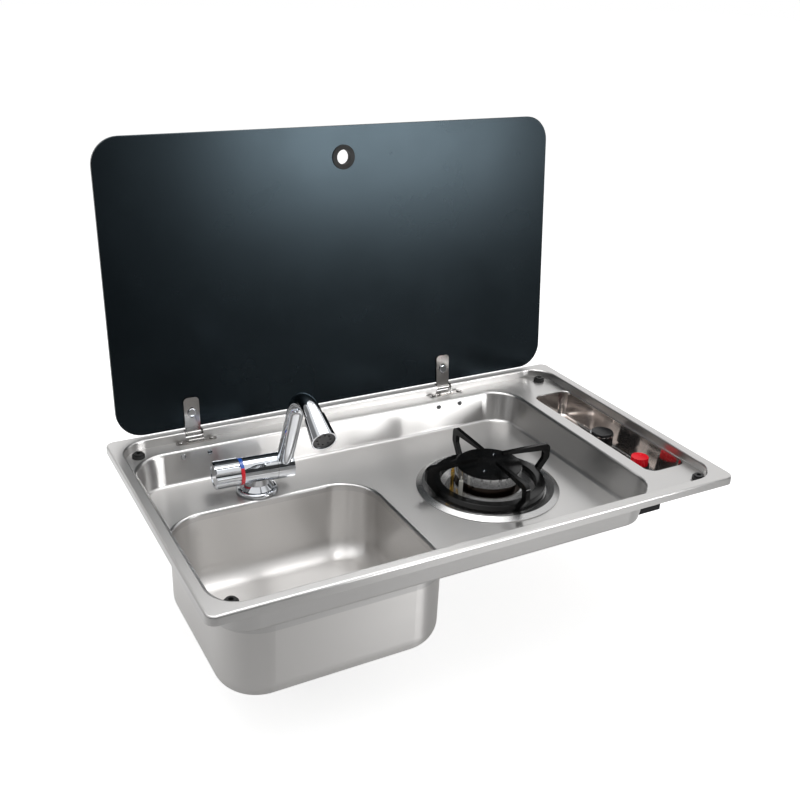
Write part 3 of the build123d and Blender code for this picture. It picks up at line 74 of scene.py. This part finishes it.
# ---------------------------------------------------------------- material helpers
class Nodes:
    """A material's node tree, with short calls for what is built again and again."""

    def __init__(self, name, **values):
        self.material = bpy.data.materials.new(name)
        self.material.use_nodes = True
        self.tree = self.material.node_tree
        self.shader = self.tree.nodes["Principled BSDF"]
        for socket, value in values.items():
            self.shader.inputs[socket.replace("_", " ")].default_value = value

    def add(self, kind, **settings):
        node = self.tree.nodes.new(kind)
        for key, value in settings.items():
            setattr(node, key, value)
        return node

    def link(self, a, b):
        self.tree.links.new(a, b)

    def place(self, scale=(1, 1, 1), turn=(0, 0, 0)):
        """Object coordinates, scaled and turned."""
        where = self.add("ShaderNodeTexCoord")
        mapping = self.add("ShaderNodeMapping")
        mapping.inputs["Scale"].default_value = scale
        mapping.inputs["Rotation"].default_value = turn
        self.link(where.outputs["Object"], mapping.inputs["Vector"])
        return mapping.outputs["Vector"]

    def noise(self, vector, scale, detail=3.0, roughness=0.5):
        node = self.add("ShaderNodeTexNoise")
        node.inputs["Scale"].default_value = scale
        node.inputs["Detail"].default_value = detail
        node.inputs["Roughness"].default_value = roughness
        self.link(vector, node.inputs["Vector"])
        return node.outputs["Fac"]

    def spread(self, value, low, high, start=0.3, end=0.7):
        """A 0 to 1 value stretched to run from low to high."""
        node = self.add("ShaderNodeMapRange")
        node.inputs["From Min"].default_value = start
        node.inputs["From Max"].default_value = end
        node.inputs["To Min"].default_value = low
        node.inputs["To Max"].default_value = high
        self.link(value, node.inputs["Value"])
        return node.outputs["Result"]

    def colours(self, value, stops):
        node = self.add("ShaderNodeValToRGB")
        ramp = node.color_ramp
        while len(ramp.elements) < len(stops):
            ramp.elements.new(0.5)
        for element, (place, colour) in zip(ramp.elements, stops):
            element.position = place
            element.color = (*colour, 1)
        self.link(value, node.inputs["Fac"])
        return node.outputs["Color"]

    def bump(self, height, strength, distance):
        node = self.add("ShaderNodeBump")
        node.inputs["Strength"].default_value = strength
        node.inputs["Distance"].default_value = distance
        self.link(height, node.inputs["Height"])
        self.link(node.outputs["Normal"], self.shader.inputs["Normal"])

    def rough(self, value):
        self.link(value, self.shader.inputs["Roughness"])

    def colour(self, value):
        self.link(value, self.shader.inputs["Base Color"])


def grey(level, warm=0.0):
    return (level * (1 + warm), level, level * (1 - warm))


def brushed(made, level, low, high, warm, grain):
    """Steel rubbed in level lines: fine streaks, and highlights that spread across them."""
    shape = made.add("ShaderNodeNewGeometry")
    around = made.add("ShaderNodeVectorMath", operation="CROSS_PRODUCT")
    made.link(shape.outputs["Normal"], around.inputs[0])
    around.inputs[1].default_value = (0, 0, 1)
    level_line = made.add("ShaderNodeVectorMath", operation="ADD")
    made.link(around.outputs[0], level_line.inputs[0])
    level_line.inputs[1].default_value = (0.08, 0, 0)
    made.link(level_line.outputs[0], made.shader.inputs["Tangent"])
    lines = made.noise(made.place(scale=grain), 900.0, 3.0, 0.55)
    cloud = made.noise(made.place(), 7.0, 2.0, 0.5)
    made.colour(made.colours(cloud, [(0.3, grey(level * 0.97, warm)), (0.7, grey(level, warm))]))
    made.rough(made.spread(lines, low, high))
    made.bump(lines, 0.02, 0.00003)


def steel(name, level, low, high, warm=0.012, grain=(0.01, 1, 1), spread_across=0.9, metal=0.93):
    made = Nodes(name, Metallic=metal, Anisotropic=spread_across, Anisotropic_Rotation=0.25)
    brushed(made, level, low, high, warm, grain)
    return made.material


def top_steel():
    """The pressed top: satin, with a higher polish in the control trough, and a lighter, warmer
    colour there that is a painted reflection.
    """
    made = Nodes("top_steel", Metallic=0.97, Anisotropic=0.9, Anisotropic_Rotation=0.25)
    brushed(made, 0.62, 0.275, 0.295, 0.014, (0.01, 1, 1))
    where = made.add("ShaderNodeTexCoord")
    split = made.add("ShaderNodeSeparateXYZ")
    made.link(where.outputs["Object"], split.inputs[0])
    across = made.spread(split.outputs["X"], 0.0, 1.0, trough_left - 0.002, trough_left + 0.001)
    down = made.spread(split.outputs["Z"], 1.0, 0.0, ledge_height - 0.004, ledge_height - 0.001)
    both = made.add("ShaderNodeMath", operation="MULTIPLY")
    made.link(across, both.inputs[0])
    made.link(down, both.inputs[1])
    satin = made.shader.inputs["Roughness"].links[0].from_socket
    plain = made.shader.inputs["Base Color"].links[0].from_socket
    # In the trough the colour turns lighter and warmer: a painted reflection. The higher polish
    # there is real.
    tone = made.add("ShaderNodeMix", data_type="RGBA")
    made.link(both.outputs[0], tone.inputs["Factor"])
    made.link(plain, tone.inputs[6])
    tone.inputs[7].default_value = trough_painted_reflection
    made.colour(tone.outputs[2])
    mix = made.add("ShaderNodeMix", data_type="FLOAT")
    made.link(both.outputs[0], mix.inputs["Factor"])
    made.link(satin, mix.inputs["A"])
    mix.inputs["B"].default_value = trough_roughness
    made.rough(mix.outputs["Result"])
    return made.material


def chrome_plate():
    made = Nodes("chrome_plate", Metallic=1.0)
    cloud = made.noise(made.place(), 60.0, 2.0)
    made.colour(made.colours(cloud, [(0.3, (0.60, 0.62, 0.65)), (0.7, (0.64, 0.66, 0.69))]))
    made.rough(made.spread(cloud, 0.02, 0.05))
    return made.material


def lid_finish():
    """Tinted glass backed with black: a dark blue-green sheen over almost no colour."""
    made = Nodes("lid_finish", IOR=1.36, Specular_Tint=(0.62, 0.85, 1.0, 1))
    cloud = made.noise(made.place(), 14.0, 3.0)
    made.colour(made.colours(cloud, [(0.3, (0.0012, 0.0018, 0.0024)),
                                     (0.7, (0.0016, 0.0024, 0.0032))]))
    made.rough(made.spread(cloud, 0.25, 0.28))
    return made.material


def moulded(name, colour, low, high, grain=900.0, strength=0.08, ior=1.45):
    """Moulded plastic or rubber with a fine texture."""
    made = Nodes(name, IOR=ior)
    cloud = made.noise(made.place(), 40.0, 3.0)
    fine = made.noise(made.place(), grain, 2.0)
    made.colour(made.colours(cloud, [(0.3, tuple(c * 0.85 for c in colour)), (0.7, colour)]))
    made.rough(made.spread(cloud, low, high))
    made.bump(fine, strength, 0.0002)
    return made.material


def enamel():
    """Black vitreous enamel: glossy, with the slight orange peel of a fired coat."""
    made = Nodes("enamel", IOR=1.34)
    cloud = made.noise(made.place(), 70.0, 3.0)
    peel = made.noise(made.place(), 420.0, 2.0)
    made.colour(made.colours(cloud, [(0.3, grey(0.0030)), (0.7, grey(0.0055))]))
    made.rough(made.spread(cloud, 0.14, 0.22))
    made.bump(peel, 0.06, 0.0002)
    return made.material


def casting():
    """Machined aluminium, turned round the burner's axis."""
    made = Nodes("casting", Metallic=0.75)
    rings = made.noise(made.place(scale=(0.2, 0.2, 1)), 900.0, 3.0)
    made.colour(made.colours(rings, [(0.3, grey(0.76)), (0.7, grey(0.88))]))
    made.rough(made.spread(rings, 0.14, 0.24))
    made.bump(rings, 0.06, 0.0001)
    return made.material


def base_casting(centre):
    """The burner's base: bright outside, with painted shade in the moat round the crown."""
    made = Nodes("base_casting", Metallic=0.85)
    where = made.add("ShaderNodeTexCoord")
    shift = made.add("ShaderNodeVectorMath", operation="SUBTRACT")
    shift.inputs[1].default_value = centre
    made.link(where.outputs["Object"], shift.inputs[0])
    flat = made.add("ShaderNodeVectorMath", operation="MULTIPLY")
    flat.inputs[1].default_value = (1, 1, 0)
    made.link(shift.outputs[0], flat.inputs[0])
    radius = made.add("ShaderNodeVectorMath", operation="LENGTH")
    made.link(flat.outputs[0], radius.inputs[0])
    # Inside moat_radius the colour is dark brown: painted shade in the recess round the crown.
    moat_shade_mask = made.spread(radius.outputs["Value"], 0.0, 1.0, moat_radius, moat_radius + 0.0005)
    made.colour(made.colours(moat_shade_mask, [(0.3, (0.050, 0.036, 0.028)), (0.7, grey(0.84))]))
    rings = made.noise(made.place(scale=(0.2, 0.2, 1)), 900.0, 3.0)
    made.rough(made.spread(rings, 0.14, 0.24))
    made.bump(rings, 0.06, 0.0001)
    return made.material


def brass():
    made = Nodes("brass", Metallic=1.0)
    cloud = made.noise(made.place(), 160.0, 3.0)
    made.colour(made.colours(cloud, [(0.3, (0.86, 0.52, 0.10)), (0.7, (0.97, 0.66, 0.20))]))
    made.rough(made.spread(cloud, 0.16, 0.28))
    return made.material


def two_colour_ring(centre):
    """The tap's marker ring: blue over the top, red round the front and below."""
    made = Nodes("two_colour_ring", Coat_Weight=0.4, Coat_Roughness=0.06)
    where = made.add("ShaderNodeTexCoord")
    split = made.add("ShaderNodeSeparateXYZ")
    made.link(where.outputs["Object"], split.inputs[0])
    height = made.spread(split.outputs["Z"], 0.0, 1.0, centre.z + 0.0092, centre.z + 0.0100)
    made.colour(made.colours(height, [(0.4, (0.60, 0.010, 0.022)), (0.6, (0.010, 0.085, 0.42))]))
    cloud = made.noise(made.place(), 300.0, 2.0)
    made.rough(made.spread(cloud, 0.20, 0.30))
    return made.material


trough_left = 0.2323
# The trough's lighter, warmer colour is a painted reflection.
trough_painted_reflection = (0.72, 0.68, 0.655, 1)
trough_roughness = 0.10
moat_radius = 0.0385
ledge_height = -0.0005


def middle(node):
    low_corner, high_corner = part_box(node)
    return (Vector(low_corner) + Vector(high_corner)) / 2


ring_centre = middle("indicator_ring")
burner_centre = middle("drip_dish")

top = top_steel()
bowl_steel = steel("bowl_steel", 0.70, 0.31, 0.35, 0.020, metal=0.94)
dish_steel = steel("dish_steel", 0.50, 0.255, 0.270, 0.004, (0.2, 0.2, 1), 0.0, metal=0.96)
plate_steel = steel("plate_steel", 0.42, 0.12, 0.20, 0.03, (1, 0.1, 0.1), 0.2, metal=0.98)
pipe_steel = steel("pipe_steel", 0.66, 0.20, 0.30, 0.010, (1, 1, 1), 0.0)
chrome = chrome_plate()
lid_glass = lid_finish()
rubber = moulded("rubber", (0.014, 0.014, 0.014), 0.5, 0.65)
black_plastic = moulded("black_plastic", (0.006, 0.006, 0.007), 0.20, 0.30, ior=1.34)
red_plastic = moulded("red_plastic", (0.88, 0.006, 0.020), 0.20, 0.30, ior=1.28)
white_plastic = moulded("white_plastic", (0.75, 0.75, 0.72), 0.3, 0.4)
aerator_plastic = moulded("aerator_plastic", (0.05, 0.05, 0.052), 0.3, 0.4)
ceramic = moulded("ceramic", (0.50, 0.49, 0.45), 0.12, 0.2)
black_enamel = enamel()
burner_casting = casting()
brass_metal = brass()
zinc = steel("zinc", 0.60, 0.30, 0.42, 0.0, (1, 1, 1), 0.0)
marker_ring = two_colour_ring(ring_centre)

finishes = {
    "pressed_steel": bowl_steel, "hinge_steel": plate_steel, "chrome": chrome,
    "dark_glass": lid_glass, "black_rubber": rubber, "black_plastic": black_plastic,
    "button_red": red_plastic, "ring_red": marker_ring, "black_enamel": black_enamel,
    "burner_casting": burner_casting, "nylon": white_plastic, "brass": brass_metal,
    "ceramic": ceramic, "pipe_metal": pipe_steel, "zinc": zinc,
}
special = {"sink_top": top, "sink_bowl": bowl_steel, "drip_dish": dish_steel,
           "aerator": aerator_plastic, "burner_base": base_casting(burner_centre),
           "strap_screws": chrome, "wall_rivets": chrome, "cap_rivets": chrome}


def dress(item, material):
    item.data.materials.clear()
    item.data.materials.append(material)


for part in frame["record"]["subparts"]:
    name = part["node"]
    dress(nodes[name], special.get(name, finishes[part["material_slot"]]))
    mesh = nodes[name].data
    mesh.shade_smooth()
    mesh.set_sharp_from_angle(angle=math.radians(32))

# ---------------------------------------------------------------- floor, world and lamps
# The camera sees white all round. Gloss sees a dimmer studio: white behind and above the
# object, nearly black low in front of it, dim low to its left, and a floor painted with a
# glow behind the object and with shade that darkens it, the more the further in front.
floor_height = cad_low.z - 0.02
floor_half_size = 12.0
paper_level = 0.82
# How much painted shade darkens the paper to gloss, near the object and further in front.
gloss_shade_near = 0.27
gloss_shade_far = 0.70
camera_glow = 0.62
# Strength of the painted glow on the floor behind the object, seen only by gloss.
gloss_painted_glow_behind = 0.6
ambient_level = 0.5
room_dimming = 0.95
left_dimming = 0.75


def math_node(tree, operation, *values):
    node = tree.nodes.new("ShaderNodeMath")
    node.operation = operation
    for socket, value in zip(node.inputs, values):
        if isinstance(value, (int, float)):
            socket.default_value = value
        else:
            tree.links.new(value, socket)
    return node.outputs[0]


def slope(tree, value, start, end, low, high):
    """Runs smoothly from low to high as value goes from start to end."""
    node = tree.nodes.new("ShaderNodeMapRange")
    node.interpolation_type = "SMOOTHSTEP"
    for key, number in (("From Min", start), ("From Max", end), ("To Min", low), ("To Max", high)):
        node.inputs[key].default_value = number
    tree.links.new(value, node.inputs["Value"])
    return node.outputs["Result"]


def ray_kinds(tree):
    """1 for camera rays, and 1 for glossy and transmission rays."""
    path = tree.nodes.new("ShaderNodeLightPath")
    shiny = math_node(tree, "MAXIMUM", path.outputs["Is Glossy Ray"],
                      path.outputs["Is Transmission Ray"])
    return path.outputs["Is Camera Ray"], shiny


def floor_finish():
    """Pale matt paper that glows just enough to look white. To gloss it shows a painted glow
    behind the object and painted shade that darkens it, the more the further in front.
    """
    made = Nodes("floor_finish", Roughness=0.9, Emission_Color=(1, 1, 1, 1))
    made.shader.inputs["Specular IOR Level"].default_value = 0.0
    tree = made.tree
    camera_ray, shiny_ray = ray_kinds(tree)
    where = made.add("ShaderNodeTexCoord")
    split = made.add("ShaderNodeSeparateXYZ")
    made.link(where.outputs["Object"], split.inputs[0])
    # Gloss only: a painted glow on the floor behind the object.
    painted_glow_behind = slope(tree, split.outputs["Y"], -0.4, 0.7, 0.0, gloss_painted_glow_behind)
    seen_glow = math_node(tree, "MULTIPLY", camera_ray, camera_glow)
    shiny_glow = math_node(tree, "MULTIPLY", shiny_ray, painted_glow_behind)
    glow = math_node(tree, "ADD", seen_glow, shiny_glow)
    made.link(glow, made.shader.inputs["Emission Strength"])
    # Gloss only: painted shade darkens the paper, the more the further in front of the object.
    painted_front_shade = slope(tree, split.outputs["Y"], -0.72, -0.45, gloss_shade_far, gloss_shade_near)
    painted_shade = math_node(tree, "MULTIPLY", shiny_ray, painted_front_shade)
    made.colour(math_node(tree, "SUBTRACT", paper_level, painted_shade))
    return made.material


floor_mesh = bpy.data.meshes.new("floor")
form = bmesh.new()
bmesh.ops.create_grid(form, x_segments=1, y_segments=1, size=floor_half_size)
form.to_mesh(floor_mesh)
form.free()
floor = bpy.data.objects.new("floor", floor_mesh)
floor.location.z = floor_height
scene.collection.objects.link(floor)
dress(floor, floor_finish())

world = bpy.data.worlds.new("studio")
scene.world = world
world.use_nodes = True
sky = world.node_tree
background = sky.nodes["Background"]
background.inputs["Color"].default_value = (1, 1, 1, 1)
sky_place = sky.nodes.new("ShaderNodeTexCoord")
sky_split = sky.nodes.new("ShaderNodeSeparateXYZ")
sky.links.new(sky_place.outputs["Generated"], sky_split.inputs[0])
sky_front = slope(sky, sky_split.outputs["Y"], -0.45, -0.05, 1.0, 0.0)
sky_low = slope(sky, sky_split.outputs["Z"], 0.50, 0.66, 1.0, 0.0)
room = math_node(sky, "MULTIPLY", math_node(sky, "MULTIPLY", sky_front, sky_low), room_dimming)
sky_left = slope(sky, sky_split.outputs["X"], -0.65, -0.15, left_dimming, 0.0)
side = math_node(sky, "MULTIPLY", sky_left, sky_low)
sky_gloss = math_node(sky, "SUBTRACT", 1.0, math_node(sky, "MAXIMUM", room, side))
sky_camera, sky_shiny = ray_kinds(sky)
gloss_change = math_node(sky, "SUBTRACT", sky_gloss, ambient_level)
shiny_part = math_node(sky, "MULTIPLY", sky_shiny, gloss_change)
camera_part = math_node(sky, "MULTIPLY", sky_camera, 1.0 - ambient_level)
both_parts = math_node(sky, "ADD", shiny_part, camera_part)
sky.links.new(math_node(sky, "ADD", both_parts, ambient_level), background.inputs["Strength"])


def lamp(name, place, aim, size, power):
    data = bpy.data.lights.new(name, "AREA")
    data.shape = "RECTANGLE"
    data.size, data.size_y = size
    data.energy = power
    made = bpy.data.objects.new(name, data)
    scene.collection.objects.link(made)
    made.location = place
    made.rotation_mode = "QUATERNION"
    made.rotation_quaternion = (Vector(aim) - Vector(place)).to_track_quat("-Z", "Y")


lamp("key", (-0.3, 0.1, 1.4), (-0.05, 0, 0), (1.6, 1.2), 7.5)
lamp("strip", (0.40, 0.30, 1.35), (0, 0.10, 0), (0.5, 0.8), 5.5)
lamp("low_front", (1.1, -1.95, 0.34), (-0.05, 0.2, 0.3), (0.9, 0.4), 22.5)
